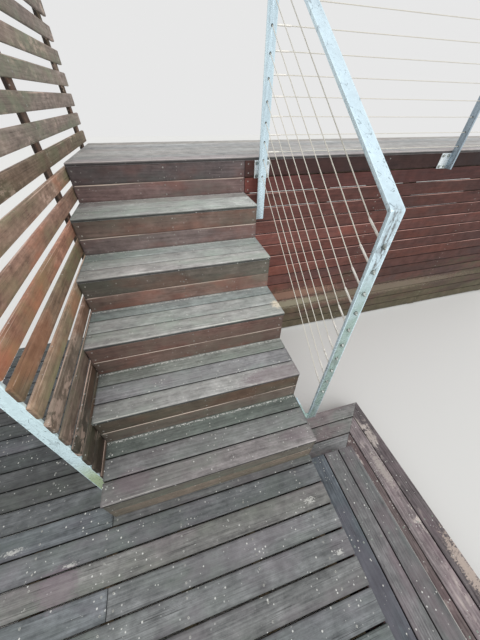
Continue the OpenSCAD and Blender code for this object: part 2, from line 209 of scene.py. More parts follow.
fibres = noise(grain, (4.0, 320, 320), 4, 0.6)
streaks = noise(grain, (1.6, 40, 40), 4, 0.6)
mottle = noise(grain, (24, 50, 50), 6, 0.75)
blotches = noise(place, (12, 12, 12), 5, 0.62)
clouds = noise(grain, (2.1, 8, 8), 3, 0.5)
bloom = noise(grain, (2.9, 7, 7), 4, 0.55)
bloom = plus(times(bloom, 0.6), times(noise(place, (2.6, 2.6, 2.6)), 0.4))
wobble = noise(grain, (1.0, 8, 8), 2, 0.5)
phase = plus(times(split(grain)[1], 330), times(wobble, 46))
rings = times(plus(calc("SINE", phase), 1.0), 0.5)

check_lines = window(noise(grain, (5, 420, 420), 1, 0.5), 0.64, 0.7)
check_zones = window(noise(grain, (3.5, 16, 16), 2, 0.5), 0.52, 0.6)
checks = times(times(check_lines, check_zones), given["Check share"], clamp=True)
distance, sizes = cells(place, 66)
speck_zones = window(noise(place, (17, 17, 17), 3, 0.6), 0.46, 0.56)
specks = times(window(plus(distance, times(sizes, 0.3)), 0.27, 0.19), speck_zones)
scuffs = window(noise(grain, (22, 60, 60), 4, 0.7), 0.7, 0.76)
specks = times(calc("MAXIMUM", specks, scuffs), given["Speck share"], clamp=True)
# How far along its own going each point lies, with the next nosing at 1
foot = plus(where[1], (20 * GOING - NOSING) * MM)
foot = calc("FRACT", calc("DIVIDE", foot, GOING * MM))
foot = times(window(foot, 0.88, 0.98), window(foot, 0.987, 0.983))
foot = plus(foot, around(noise(place, (130, 130, 130), 3, 0.75), 3.2, 0.6))
specks = calc("MAXIMUM", specks, times(window(foot, 0.55, 0.8), given["Dust share"]), clamp=True)

tone = plus(around(fibres, 0.9), around(streaks, 0.6))
tone = plus(tone, times(around(mottle, 1.0), given["Mottle share"]))
tone = plus(tone, times(around(rings, 1.0), given["Figure share"]))
tone = plus(tone, 0.5, clamp=True)
colour = mixed(tone, given["Dark"], given["Pale"])
stained = times(window(clouds, 0.4, 0.62), given["Stain share"])
stained = times(stained, window(blotches, 0.25, 0.65), clamp=True)
colour = mixed(stained, colour, given["Stain"])
bloomed = times(window(bloom, 0.48, 0.6), given["Bloom share"], clamp=True)
colour = mixed(bloomed, colour, given["Bloom"])
colour = mixed(1.0, colour, given["Tint"], "MULTIPLY")
above = minus(where[2], given["Damp height"])
above = plus(above, plus(around(clouds, 1.2), around(blotches, 0.8)))
mossy = window(above, 0.12, -0.35)
colour = mixed(times(mossy, 0.8), colour, paint(88, 84, 64))
shade = node("ShaderNodeMapRange", {"Value": blotches, "From Min": 0.25, "From Max": 0.75,
                                    "To Min": 0.7, "To Max": 1.3}).outputs[0]
# Painted shade: where the edge value is below 0, on the faces down in the gaps and on some lower arrises, the
# colour is darkened by up to 86 %.
painted_gap_shade = times(calc("MAXIMUM", times(given["Edge"], -1.0), 0.0), 0.86)
shade = times(shade, minus(1.0, painted_gap_shade))
colour = brighten(colour, shade)

# Where the edge value is above 0 the arris is painted pale. On the nosings this is wear; on the top arrises of
# risers and cladding and on the slats' top faces it is a painted highlight.
arris = calc("MAXIMUM", given["Edge"], 0.0)
wear_and_painted_light = noise(grain, (2.5, 300, 300), 2, 0.5)
wear_and_painted_light = window(plus(wear_and_painted_light, times(arris, 0.5)), 0.78, 0.98)
wear_and_painted_light = times(wear_and_painted_light, given["Wear share"], clamp=True)
colour = mixed(wear_and_painted_light, colour, given["Worn"])
flakes = window(plus(blotches, around(mottle, 0.9)), 0.5, 0.58)
peel_zones = window(noise(grain, (2.6, 9, 9), 3, 0.6), 0.52, 0.66)
peeled = times(times(flakes, peel_zones), given["Peel share"], clamp=True)
colour = mixed(peeled, colour, given["Worn"])
colour = mixed(times(checks, 0.75), colour, paint(30, 27, 25))
colour = mixed(specks, colour, paint(216, 217, 212))

dry = node("ShaderNodeMapRange", {"Value": blotches, "To Min": 0.85, "To Max": 0.5}).outputs[0]
height = plus(times(fibres, 0.5), times(rings, 0.2))
height = plus(minus(height, checks), times(mottle, 0.3))
height = plus(height, times(minus(specks, peeled), 0.3))
fill(board_out, {"Color": colour, "Roughness": plus(dry, times(peeled, 0.2)), "Height": height})
print("weathered board:", len(tree.nodes), "nodes")

# %% [markdown]
# ## One mark at one place
#
# A few marks are too particular for noise: a worn corner, a pink stain, scuffs
# by the first step. Each is a ragged patch round a point on the part.

# %% Mark group
tree, given, mark_out = group("mark", {
    "Vector": "Place, Centre, Per metre", "Color": "Color, Mark", "Float": "Ragged, Share"}, {"Color": "Color"})
mark_tree, place = tree, given["Place"]
away = node("ShaderNodeVectorMath", {0: place, 1: given["Centre"]}, operation="SUBTRACT").outputs[0]
away = node("ShaderNodeVectorMath", {0: stretch(away, given["Per metre"])}, operation="LENGTH").outputs["Value"]
ragged = times(around(noise(place, (70, 130, 90), 5, 0.75), 2.4), given["Ragged"])
inside = times(window(plus(away, ragged), 1.0, 0.55), given["Share"], clamp=True)
fill(mark_out, {"Color": mixed(inside, given["Color"], given["Mark"])})

# %% [markdown]
# ## Timber finishes
#
# The treads and decks are grey from feet and rain, the risers and cladding kept
# their red-brown stain because little rain stands on them, and the screen goes
# from taupe at the top through green to orange-brown low down. Each finish is the
# same group with its own colours and amounts.

# %% Timber finishes
def timber(name, pale, dark, stain, bloom, worn, stained=0.6, bloomed=0.0, wear=0.8, figure=0.3,
           specks=0.0, checks=0.8, peel=0.0, mottle=1.0, damp=-2.0, dust=0.0, marks=()):
    global tree
    finish, tree, shader = new_finish(name)
    here = node("ShaderNodeTexCoord").outputs["Object"]
    look = node("ShaderNodeGroup", {
        "Grain": attribute("grain", "Vector"), "Place": here, "Tint": attribute("tint", "Color"),
        "Edge": attribute("edge"), "Pale": paint(*pale), "Dark": paint(*dark), "Stain": paint(*stain),
        "Bloom": paint(*bloom), "Worn": paint(*worn), "Stain share": stained,
        "Bloom share": times(attribute("tint", "Alpha"), bloomed), "Wear share": wear, "Figure share": figure,
        "Speck share": specks, "Check share": checks, "Peel share": peel, "Mottle share": mottle,
        "Damp height": damp, "Dust share": dust}, node_tree=board_tree).outputs
    colour = look["Color"]
    for centre, size, ragged, mark, share in marks:
        colour = node("ShaderNodeGroup", {
            "Place": here, "Color": colour, "Centre": [v * MM for v in centre],
            "Per metre": [1000 / v for v in size], "Ragged": ragged, "Mark": paint(*mark),
            "Share": share}, node_tree=mark_tree).outputs["Color"]
    fill(shader, {"Base Color": colour, "Roughness": look["Roughness"], "Specular IOR Level": 0.35,
                  "Normal": bump(look["Height"], 0.5, 1 * MM)})
    return finish


SCUFF = (214, 214, 208)
tread_marks = [((984, 610, 990), (36, 40, 20), 1.0, (232, 222, 202), 0.95),
               ((880, 300, 790), (220, 60, 20), 0.6, (128, 108, 116), 0.5),
               ((904, 60, 590), (90, 40, 20), 0.6, (116, 100, 108), 0.35),
               ((123, 69, 590), (90, 60, 20), 0.6, (116, 98, 106), 0.4),
               ((673, 294, 590), (12, 40, 20), 1.2, SCUFF, 0.8)]
tread_finish = timber(
    "tread timber", (212, 212, 205), (112, 112, 107), (138, 149, 136), (150, 136, 136), (228, 226, 218),
    bloomed=0.25, wear=1.0, figure=0.12, specks=1.0, mottle=1.2, dust=1.0, marks=tread_marks)
riser_finish = timber(
    "riser timber", (168, 145, 134), (100, 85, 77), (118, 112, 100), (150, 106, 92), (208, 192, 178),
    stained=0.8, bloomed=0.6, wear=0.9, figure=0.15, specks=0.3, mottle=1.2)
cladding_marks = [((1450, 1328, 470), (600, 60, 65), 0.9, (148, 116, 98), 0.8),
                  ((2300, 1328, 345), (1700, 60, 80), 0.8, (132, 122, 104), 0.6),
                  ((1350, 1328, 355), (650, 60, 60), 0.7, (158, 152, 130), 0.75)]
cladding_finish = timber(
    "cladding timber", (137, 88, 79), (83, 51, 46), (84, 66, 62), (142, 80, 64), (206, 164, 154),
    stained=0.5, bloomed=0.35, wear=1.0, figure=0.2, damp=0.4, marks=cladding_marks)
deck_marks = [((-201, -169, 390), (90, 80, 20), 0.7, (134, 114, 126), 0.4),
              ((-410, -5, 390), (40, 8, 20), 2.4, SCUFF, 0.6),
              ((-168, -113, 390), (26, 6, 20), 2.4, SCUFF, 0.55),
              ((905, -186, 390), (26, 12, 20), 2.4, SCUFF, 0.65),
              ((940, -390, 390), (20, 9, 20), 2.4, SCUFF, 0.65)]
deck_finish = timber(
    "deck timber", (160, 162, 162), (66, 68, 69), (100, 108, 100), (134, 126, 132), (190, 192, 190),
    bloomed=0.45, wear=0.4, figure=0.12, specks=0.9, mottle=1.2, marks=deck_marks)
upper_finish = timber(
    "upper deck timber", (196, 190, 184), (136, 128, 124), (150, 138, 132), (168, 148, 142), (226, 218, 210),
    stained=0.5, bloomed=0.3, wear=1.0, figure=0.2, specks=0.3, mottle=0.9)
side_finish = timber(
    "side step timber", (146, 148, 149), (72, 73, 76), (92, 102, 98), (124, 110, 116), (200, 196, 190),
    stained=0.5, bloomed=0.5, wear=0.9, figure=0.2, specks=1.0, mottle=1.3)
side_marks = [((1600, -617, 130), (34, 150, 20), 1.6, (200, 184, 172), 0.75),
              ((1501, -133, 130), (30, 120, 20), 1.6, (190, 182, 174), 0.6)]
peeling_finish = timber(
    "peeling side step timber", (152, 146, 144), (84, 78, 79), (104, 96, 98), (126, 110, 114), (210, 200, 192),
    stained=0.5, bloomed=0.4, wear=0.9, figure=0.4, specks=1.0, peel=0.85, mottle=1.5, marks=side_marks)
slat_finish = timber(
    "slat timber", (190, 164, 146), (112, 92, 79), (124, 126, 98), (186, 128, 100), (232, 202, 186),
    stained=0.8, bloomed=0.7, wear=0.9, figure=0.15, specks=0.5, checks=0.7, peel=0.4, mottle=1.8)
frame_finish = timber(
    "framing timber", (150, 130, 104), (98, 84, 68), (92, 96, 78), (120, 104, 84), (170, 152, 128),
    wear=0.4, figure=0.6, checks=0.6, damp=0.1)
print("timber finishes:", [m.name for m in bpy.data.materials])

# %% [markdown]
# ## Galvanised steel
#
# The posts and rails are hot-dip galvanised: a pale blue-grey zinc skin with
# crystals about a centimetre across, faint runs down the bar, and brown or green
# grime where water stands. A cell pattern gives the crystals and stretched noise
# gives the runs.

# %% Galvanised steel group and finishes
tree, given, zinc_out = group("zinc skin", {
    "Vector": "Place", "Color": "Zinc, Green, Grime", "Float": "Across, Patina, Grime share"},
    {"Color": "Color", "Float": "Roughness, Height"})
zinc_tree, place = tree, given["Place"]
spot = split(place)
crystals = cells(place, 95)[1]
haze = noise(place, (7, 7, 7), 4, 0.6)
runs = noise(place, (60, 60, 3.5), 3, 0.6)
spots = noise(place, (26, 26, 26), 4, 0.65)
flecks = noise(place, (62, 54, 30), 3, 0.6, distortion=1.4)
# 1 on the lower post alone, whose bar lies 0.179 to 0.191 m behind the first nosing
foot_post = window(spot[1], 0.205, 0.193)
# 1 on the handrail and the lower post, 0 on the top post
sloped = window(spot[1], 1.2, 1.1)
arrises = window(calc("ABSOLUTE", given["Across"]), 0.78, 0.93)
middle = minus(1.0, arrises)
lift = plus(around(crystals, 0.05), around(haze, 0.3))
lift = plus(lift, around(runs, 0.22))
lift = minus(lift, times(window(flecks, 0.585, 0.66), times(sloped, 0.42)))
# Painted highlight: the arrises are lifted 12 % paler.
lift = plus(lift, times(arrises, 0.12))
colour = brighten(given["Zinc"], plus(lift, 1.0))
patina = times(given["Patina"], foot_post)
reach = minus(plus(times(patina, 1.1), 0.4), spot[2])
green = times(times(window(reach, 0.0, 0.25), middle), window(haze, 0.25, 0.5))
colour = mixed(times(green, 0.75), colour, given["Green"])
grimy = times(window(spots, 0.5, 0.66), window(runs, 0.42, 0.62))
grimy = times(grimy, plus(times(middle, 0.8), 0.2))
grimy = times(grimy, plus(given["Grime share"], times(patina, 0.4)), clamp=True)
# Dark runs start just under the knee, at 1.62 m, and fade out below
streak = plus(noise(place, (110, 110, 32), 4, 0.7), times(window(spot[2], 1.38, 1.6), 0.07))
streak = times(window(streak, 0.48, 0.64), times(window(spot[2], 1.32, 1.44), times(patina, 0.8)))
streak = times(streak, window(calc("ABSOLUTE", given["Across"]), 0.8, 0.3))
streak = times(streak, window(spot[2], 1.64, 1.62))
grimy = calc("MAXIMUM", grimy, streak)
colour = mixed(grimy, colour, given["Grime"])
dull = plus(times(haze, 0.4), times(grimy, 0.3))
fill(zinc_out, {"Color": colour, "Roughness": plus(dull, times(crystals, 0.12)), "Height": spots})


def zinc(name, skin, grime, grime_share=0.5, metallic=0.35, green=(146, 172, 156)):
    global tree
    finish, tree, shader = new_finish(name)
    look = node("ShaderNodeGroup", {
        "Place": node("ShaderNodeTexCoord").outputs["Object"], "Across": attribute("across"),
        "Patina": attribute("patina"), "Zinc": paint(*skin), "Green": paint(*green), "Grime": paint(*grime),
        "Grime share": grime_share}, node_tree=zinc_tree).outputs
    fill(shader, {"Base Color": look["Color"], "Roughness": look["Roughness"], "Metallic": metallic,
                  "Normal": bump(look["Height"], 0.3, 0.3 * MM)})
    return finish


bar_finish = zinc("galvanised bar", (214, 236, 247), (92, 84, 78), 0.05)
# The deck bars get a darker copy of the same zinc: painted shade and a painted reflection of the dark surroundings.
shaded_deck_bar_finish = zinc("shaded deck bar", (156, 172, 184), (84, 86, 88), 0.2)
screen_bar_finish = zinc("screen bar", (222, 246, 252), (104, 116, 116), 0.3, 0.1, green=(188, 206, 140))
plate_finish = zinc("galvanised plate", (232, 240, 244), (140, 136, 124), 0.25)
fixing_finish = zinc("bright fixing", (172, 178, 174), (84, 82, 70), 0.6, 0.8)
screw_finish = zinc("zinc screw", (188, 188, 182), (96, 90, 78), 0.6, 0.5)
stud_finish = zinc("swaged stud", (244, 240, 232), (160, 154, 140), 0.2, 0.2)
shadow_ring_finish = zinc("hole sleeve", (74, 80, 82), (50, 48, 44), 0.4, 0.2)

# %% [markdown]
# ## Wire rope
#
# The wires are six strands laid round each other. Modelling the strands would
# cost many faces for a rope 4 mm thick, so a sine over each wire's own lay
# coordinates lifts them and paints the grooves between them darker, painted shade.

# %% Wire finish
STRANDS, LAY = 6, 30
wire_finish, tree, shader = new_finish("wire rope")
lay = split(attribute("lay", "Vector"))
twist = plus(times(lay[0], STRANDS), times(lay[1], 2 * math.pi * STRANDS / (LAY * MM)))
strands = calc("ABSOLUTE", calc("SINE", times(twist, 0.5)))
# Painted shade: the grooves between strands are darker, the crowns paler.
fill(shader, {"Base Color": mixed(strands, paint(168, 164, 152), paint(248, 244, 232)), "Metallic": 0.1,
              "Roughness": 0.38, "Normal": bump(strands, 0.6, 0.4 * MM)})
print("steel finishes ready")

# %% [markdown]
# ## One board, modelled once
#
# A decking board is a long plank with machined, slightly rounded arrises. It
# could be a plain box with a bevel, but the finish paints its arrises pale, as
# wear and as a painted highlight, and needs to know where they are. So the box is
# stretched in edit mode, its edges are bevelled, and cuts are added a little
# inside each arris and along the length. The cuts also let each copy bow by a
# fraction of a millimetre, as real boards do.

# %% Board model
chance = random.Random(20)
board_store = {}


def deselect():
    if bpy.context.mode != "OBJECT":
        bpy.ops.object.mode_set(mode="OBJECT")
    bpy.ops.object.select_all(action="DESELECT")


def pick(pieces):
    deselect()
    for piece in pieces:
        piece.select_set(True)
    bpy.context.view_layer.objects.active = pieces[0]


def edit(piece):
    pick([piece])
    bpy.ops.object.mode_set(mode="EDIT")
    bpy.ops.mesh.select_all(action="SELECT")


def cut_at(points, normal):
    for point in points:
        bpy.ops.mesh.select_all(action="SELECT")
        bpy.ops.mesh.bisect(plane_co=point, plane_no=normal)


def model_board(length, width, thick, arris):
    key = (length, width, thick, arris)
    if key in board_store:
        return board_store[key]
    deselect()
    bpy.ops.mesh.primitive_cube_add(size=1)
    board = bpy.context.object
    edit(board)
    bpy.ops.transform.resize(value=(length, width, thick), center_override=(0, 0, 0))
    bpy.ops.transform.translate(value=(length / 2, width / 2, thick / 2))
    bpy.ops.mesh.bevel(offset=arris, segments=2, affect="EDGES")
    inner = arris + 8 * MM
    cut_at([(0, inner, 0), (0, width - inner, 0)], (0, 1, 0))
    cut_at([(0, 0, thick / 2)], (0, 0, 1))
    spans = max(2, round(length / 0.3))
    cut_at([(inner + (length - 2 * inner) * i / spans, 0, 0) for i in range(spans + 1)], (1, 0, 0))
    deselect()
    board.data.update()
    board_store[key] = board
    return board


# %% [markdown]
# ## Laying boards
#
# A board is laid from the two corners of its place, the way it runs and the way
# its face looks. The copy gets its own mesh and three attributes that the finish
# reads: grain coordinates with a random start, a tint, and edge. Edge is above 0
# where feet wear an arris and where an arris or a slat's top face gets a painted
# highlight. It is below 0 on the faces down in the gaps and on some lower arrises,
# where it paints shade.

# %% Board layer
ALONG_X, ALONG_Y, UPRIGHT = (1, 0, 0), (0, 1, 0), (0, 0, 1)
FACE_UP, FACE_FRONT, FACE_BACK, FACE_RIGHT, FACE_LEFT = (0, 0, 1), (0, -1, 0), (0, 1, 0), (1, 0, 0), (-1, 0, 0)


def place_matrix(low, high, along, face):
    along, face = Vector(along), Vector(face)
    width_way = face.cross(along)
    corner = [low[i] if (along[i] + face[i] + width_way[i]) > 0 else high[i] for i in range(3)]
    sizes = [abs(Vector([high[i] - low[i] for i in range(3)]).dot(way)) for way in (along, width_way, face)]
    turn = Matrix((along, width_way, face)).transposed().to_4x4()
    return Matrix.Translation(corner) @ turn, sizes


def write_attribute(mesh, name, rows):
    kind, field = {1: ("FLOAT", "value"), 3: ("FLOAT_VECTOR", "vector"), 4: ("FLOAT_COLOR", "color")}[len(rows[0])]
    mesh.attributes.new(name, kind, "POINT").data.foreach_set(field, [v for row in rows for v in row])


def lay_board(low, high, along=ALONG_X, face=FACE_UP, arris=2.5, tint=(1, 1, 1), arris_wear_and_painted_light=(0.3, 0.3), ends=None,
              spread=0.09, sides=(-1.0, -1.0), bloom=1.0, tone_along=None):
    low, high, arris, close = [v * MM for v in low], [v * MM for v in high], arris * MM, 0.1 * MM
    matrix, (length, width, thick) = place_matrix(low, high, along, face)
    master = model_board(round(length, 5), round(width, 5), round(thick, 5), arris)
    mesh = master.data.copy()
    start = Vector([chance.uniform(0, 40) for _ in range(3)])
    flip = chance.choice((1, -1))
    tone = math.exp(chance.gauss(0, spread))
    warm = math.exp(chance.gauss(0, 0.3 * spread))
    bow, phase, tip = chance.uniform(0.1, 0.3) * MM, chance.uniform(0, 6), chance.uniform(-0.4, 0.4) * MM
    grain, edge, shades = [], [], []
    for vertex in mesh.vertices:
        x, y, z = vertex.co
        drift = tone * (1 + 0.06 * math.sin(3.1 * x + 2 * phase)) * (tone_along(x) if tone_along else 1)
        shades.append((tint[0] * drift * warm, tint[1] * drift, tint[2] * drift / warm, bloom))
        inside, below, end = min(y, width - y), thick - z, min(x, length - x)
        near_half = y < width / 2
        this_arris = arris_wear_and_painted_light[0] if near_half else arris_wear_and_painted_light[1]
        # Side and end faces take the sides value: painted shade down in the gaps, and on the slats a painted
        # highlight on the top face. Arrises take the arris value: wear, painted highlight, and painted shade where
        # it is below 0. The rims of the gaps get -0.25, a little painted shade.
        if below > arris + close and (inside < close or end < close):
            wear_and_painted_light = min(sides) if end < close else sides[0] if near_half else sides[1]
        elif inside < arris - close and below < arris - close and end > arris:
            wear_and_painted_light = this_arris
        elif inside < arris + close and below < close and end > arris:
            wear_and_painted_light = this_arris * 0.85
        else:
            wear_and_painted_light = -0.25 if inside < close or end < arris else 0.0
        edge.append((wear_and_painted_light,))
        grain.append((flip * x + start.x, y + start.y, z + start.z))
        sway = math.sin(2.2 * x + phase)
        vertex.co.y += 1.5 * bow * sway
        vertex.co.z += tip * (y / width - 0.5) - bow * abs(sway)
    write_attribute(mesh, "grain", grain)
    write_attribute(mesh, "edge", edge)
    write_attribute(mesh, "tint", shades)
    mesh.transform(matrix)
    board = bpy.data.objects.new("board", mesh)
    bpy.context.collection.objects.link(board)
    if ends:
        edit(board)
        bpy.ops.mesh.bisect(plane_co=[v * MM for v in ends[0]], plane_no=ends[1], use_fill=True, clear_outer=True)
        deselect()
    return board


def join(parts, name, finish, slot="galvanised_steel", *replaced, smooth=40):
    pick(parts)
    if len(parts) > 1:
        bpy.ops.object.join()
    piece = parts[0]
    piece.name = piece.data.name = name
    piece.data.materials.clear()
    piece.data.materials.append(finish)
    bpy.ops.object.shade_smooth_by_angle(angle=math.radians(smooth))
    deselect()
    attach(piece, "root")
    for node_name in replaced:
        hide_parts(node_name)
    print(name, len(parts), "parts,", len(piece.data.polygons), "faces")


# %% [markdown]
# ## Treads
#
# Each tread is three boards on three stringers. Feet and rain treat them all
# differently: the top one is pale and greenish, the lower ones darker and more
# purple, so every board gets its own tint. Treads and risers also darken towards
# the screen, painted shade beside it.

# %% Treads
tread_tints = [[(0.65, 0.6, 0.65), (0.6, 0.6, 0.65), (0.4, 0.45, 0.45)],
               [(0.95, 0.95, 1.0), (0.85, 0.85, 0.95), (0.7, 0.75, 0.75)],
               [(1.15, 1.15, 1.2), (1.1, 1.15, 1.2), (0.8, 0.9, 0.95)],
               [(1.2, 1.2, 1.25), (1.15, 1.2, 1.25), (1.0, 1.1, 1.15)],
               [(1.3, 1.35, 1.4), (1.3, 1.35, 1.4), (1.0, 0.95, 1.0)]]
tread_rub = (0.55, 0.55, 0.8, 0.75, 0.65)


# Painted shade: up to 30 % darker within about 0.1 m of the screen.
def painted_shade_by_screen(x):
    return 1.02 - 0.3 * math.exp(-x / 0.1)


for i in range(5):
    top, boards = LOW_TOP + RISE * (i + 1), []
    for b in range(3):
        y = GOING * i + PITCH * b
        boards.append(lay_board((0, y, top - THICK), (STAIR_WIDTH, y + BOARD, top), tint=tread_tints[i][b],
                                arris_wear_and_painted_light=(0.1 if b else tread_rub[i], 0.5 if b == 2 else -0.2), spread=0,
                                tone_along=painted_shade_by_screen))
    join(boards, f"tread_{i + 1}_boards", tread_finish, "tread_wood", f"tread_{i + 1}")

# %% Risers
# Most risers have a darker upper board, painted shade under the nosing above it. The lower board's top arris is
# painted pale, a painted highlight; under the nosing the upper board's top arris gets little.
riser_tints = [[(0.75, 0.85, 0.8), (0.6, 0.75, 0.75)], [(0.6, 0.65, 0.65), (0.4, 0.45, 0.4)],
               [(0.6, 0.55, 0.55), (0.65, 0.55, 0.55)], [(0.85, 0.8, 0.8), (0.5, 0.6, 0.6)],
               [(0.7, 0.75, 0.85), (0.7, 0.7, 0.7)], [(0.8, 0.75, 0.85), (0.45, 0.5, 0.6)]]
RISER_PITCH = 91
boards = []
for i in range(6):
    y = GOING * i + NOSING
    for b in range(2):
        z = LOW_TOP + RISE * i + RISER_PITCH * b
        boards.append(lay_board((0, y, z), (STAIR_WIDTH, y + THICK, z + BOARD), face=FACE_FRONT,
                                tint=riser_tints[i][b], arris_wear_and_painted_light=(0.1, 0.2 if b else 1.0 if i else 0.5),
                                bloom=min(1, i), spread=0, tone_along=painted_shade_by_screen))
join(boards, "riser_boards", riser_finish, "riser_wood", "risers")

# %% [markdown]
# ## Lower deck
#
# The low deck's boards run under the first riser and on under the flight. Every
# third row is jointed over a joist, as on the real deck.

# %% Lower deck boards
deck_under = LOW_TOP - THICK
boards = []
for i in range(26):
    y = FRONT + PITCH * i
    # Rows further back are darkened down to half, painted shade under the flight and the screen. The arrises are
    # darkened too, painted shade at the gaps.
    tint = [v * min(1, max(0.5, 2.2 - 0.125 * i)) for v in (0.9, 0.92, 0.94)]
    for x0, x1 in [(LEFT, LIP)] if i % 3 else [(LEFT, -11), (-9, LIP)]:
        boards.append(lay_board((x0, y, deck_under), (x1, y + BOARD, LOW_TOP), tint=tint, arris_wear_and_painted_light=(-0.35, -0.35)))
join(boards, "lower_deck_planks", deck_finish, "deck_wood", "lower_deck_boards")

boards = [lay_board((LEFT, FRONT, 231), (947, FRONT + THICK, deck_under), face=FACE_FRONT),
          lay_board((LEFT, FRONT + 21, 231), (LEFT + THICK, 1310, deck_under), ALONG_Y, FACE_LEFT)]
join(boards, "lower_deck_edges", cladding_finish, "cladding_wood", "lower_deck_edge_boards")

side_x = LIP - THICK
boards = [lay_board((side_x, FRONT, 260), (LIP, 18, deck_under), ALONG_Y, FACE_RIGHT, tint=(0.8, 0.8, 0.85))]
boards += [lay_board((side_x, 20, max(top - BOARD, 10)), (LIP, 1310, top), ALONG_Y, FACE_RIGHT,
                     tint=(0.8, 0.8, 0.8)) for top in (371, 274, 177, 80)]
join(boards, "lower_deck_side_planks", cladding_finish, "cladding_wood", "lower_deck_side_boards")

# %% [markdown]
# ## Side steps
#
# Two broad steps lie to the right of the low deck. The lower one turns behind
# the upper one, and its boards meet in a mitre, which is cut with a bisecting plane.

# %% Side steps
UPPER_TOP, LOWER_TOP = 260, 130
# The second board is tinted darker, painted shade beside the higher deck edge.
upper_tints = [(0.95, 1.0, 1.15), (0.6, 0.65, 0.7), (1.1, 1.1, 1.15), (0.85, 0.85, 0.85)]
boards = [lay_board((949 + PITCH * k, FRONT, UPPER_TOP - THICK), (1039 + PITCH * k, 18, UPPER_TOP), ALONG_Y,
                    tint=upper_tints[k], arris_wear_and_painted_light=((0.5, 0.2, 0.2, 0.8)[k], 0.15)) for k in range(4)]
join(boards, "upper_side_step_planks", side_finish, "deck_wood", "upper_side_step_boards")

# The second board is tinted darker, painted shade beside the upper step's edge.
lower_tints = [(0.95, 1.0, 1.0), (0.8, 0.75, 0.8), (1.3, 1.2, 1.2), (0.65, 0.6, 0.6)]


def skirts(x, back, low, high, name):
    boards = [lay_board((x, FRONT, low), (x + THICK, back, high), ALONG_Y, FACE_RIGHT),
              lay_board((LIP, back - THICK, low), (x - 2, back, high), face=FACE_BACK)]
    join(boards, name + "_skirts", cladding_finish, "cladding_wood", name + "_risers")


skirts(1305, 15, LOWER_TOP, UPPER_TOP - THICK, "upper_side_step")
boards = [lay_board((1249 + PITCH * k, FRONT, LOWER_TOP - THICK), (1339 + PITCH * k, 29 + PITCH * k, LOWER_TOP),
                    ALONG_Y, ends=((1310, 0, 0), (-1, 1, 0)), tint=lower_tints[k],
                    arris_wear_and_painted_light=(0.6 if k == 3 else 0.2, 0.2)) for k in range(4)]
join(boards, "lower_side_step_planks", peeling_finish, "deck_wood", "lower_side_step_boards")

boards = [lay_board((LIP, -61 + PITCH * k, LOWER_TOP - THICK), (1337 + PITCH * k, 29 + PITCH * k, LOWER_TOP),
                    ends=((1308, 0, 0), (1, -1, 0)), tint=(1.4, 1.35, 1.3),
                    arris_wear_and_painted_light=(0.15, 0.3 if k < 3 else 0.5)) for k in range(4)]
join(boards, "lower_side_step_return_planks", side_finish, "deck_wood", "lower_side_step_return_boards")
skirts(1605, 314, 0, LOWER_TOP - THICK, "lower_side_step")

# %% [markdown]
# ## Upper deck and cladding
#
# The upper deck's first board overhangs the cladding, which goes down to the
# ground in level rows with dark gaps. The lowest rows are damp and greener.

# %% Upper deck and cladding
boards = []
for i in range(9):
    y = DECK_Y + PITCH * i
    boards.append(lay_board((0, y, HIGH_TOP - THICK), (RIGHT, min(y + BOARD, WALL), HIGH_TOP),
                            tint=(1.05, 1.15, 1.2) if i else (1.0, 1.05, 1.15), arris_wear_and_painted_light=(0.3 if i else 1.0, 0.3)))
join(boards, "upper_deck_planks", upper_finish, "deck_wood", "upper_deck_boards")

row_feet = [HIGH_TOP - THICK - BOARD - 97 * i for i in range(16)]
row_shades = (0.75, 0.8, 1.0, 1.2, 0.85, 0.8, 0.95, 0.8, 0.8, 1.0, 1.2, 1.1, 1.05, 1.05)


def cladding_tint(row):
    if row < 2:
        return [(0.3, 0.35, 0.4), (0.75, 0.65, 0.7)][row]
    down = min(1, max(0, row - 7) / 5)
    return tuple(row_shades[row - 2] * Vector((1.0, 0.95, 0.95)).lerp(Vector((0.85, 1.1, 1.15)), down))


def by_the_stairs(x):
    return 0.44 + 0.93 * math.exp(-x / 0.9)


# Rows 2 to 8 have their top arris painted pale, a painted highlight where light catches it, and every row has its
# lower arris darker, painted shade.
boards = [lay_board((1002, CLAD_Y, z), (RIGHT, CLAD_Y + THICK, z + BOARD), face=FACE_FRONT,
                    arris=1.0 if i < 5 else 2.2, tint=cladding_tint(i),
                    arris_wear_and_painted_light=(-0.2, 1.0 if 1 < i < 9 else 0.3), tone_along=by_the_stairs) for i, z in enumerate(row_feet)]
join(boards, "front_cladding", cladding_finish, "cladding_wood", "front_fascia")
# The end rows are tinted to half of the front rows, painted shade on the side face; their top arrises are painted
# pale, a painted highlight.
boards = [lay_board((RIGHT - THICK, CLAD_Y + THICK, z), (RIGHT, WALL, z + BOARD), ALONG_Y, FACE_RIGHT, arris=1.8,
                    tint=[0.5 * v for v in cladding_tint(i)], arris_wear_and_painted_light=(-0.2, 1.0 if i > 1 else 0.3))
          for i, z in enumerate(row_feet)]
join(boards, "end_cladding", cladding_finish, "cladding_wood", "end_fascia")

# %% [markdown]
# ## Slatted screen
#
# The slats are smaller boards with well rounded arrises. Their stain has faded
# to taupe at the top and stays orange-brown low down, out of the rain.

# %% Slatted screen
slat_feet = [LOW_TOP + 12 + 100 * k for k in range(22)]
slat_steps = ((0, (0.7, 0.7, 0.75)), (2, (0.2, 0.2, 0.2)), (4, (0.3, 0.35, 0.35)), (5, (0.6, 0.6, 0.6)),
              (6, (0.55, 0.6, 0.6)), (7, (1.1, 1.1, 1.0)), (8, (0.85, 0.85, 0.8)), (9, (1.2, 0.85, 0.75)),
              (11, (1.15, 1.1, 1.1)), (12, (0.7, 0.7, 0.65)), (13, (0.9, 1.0, 1.1)), (16, (0.8, 0.9, 1.0)),
              (22, (0.7, 0.7, 0.8)))


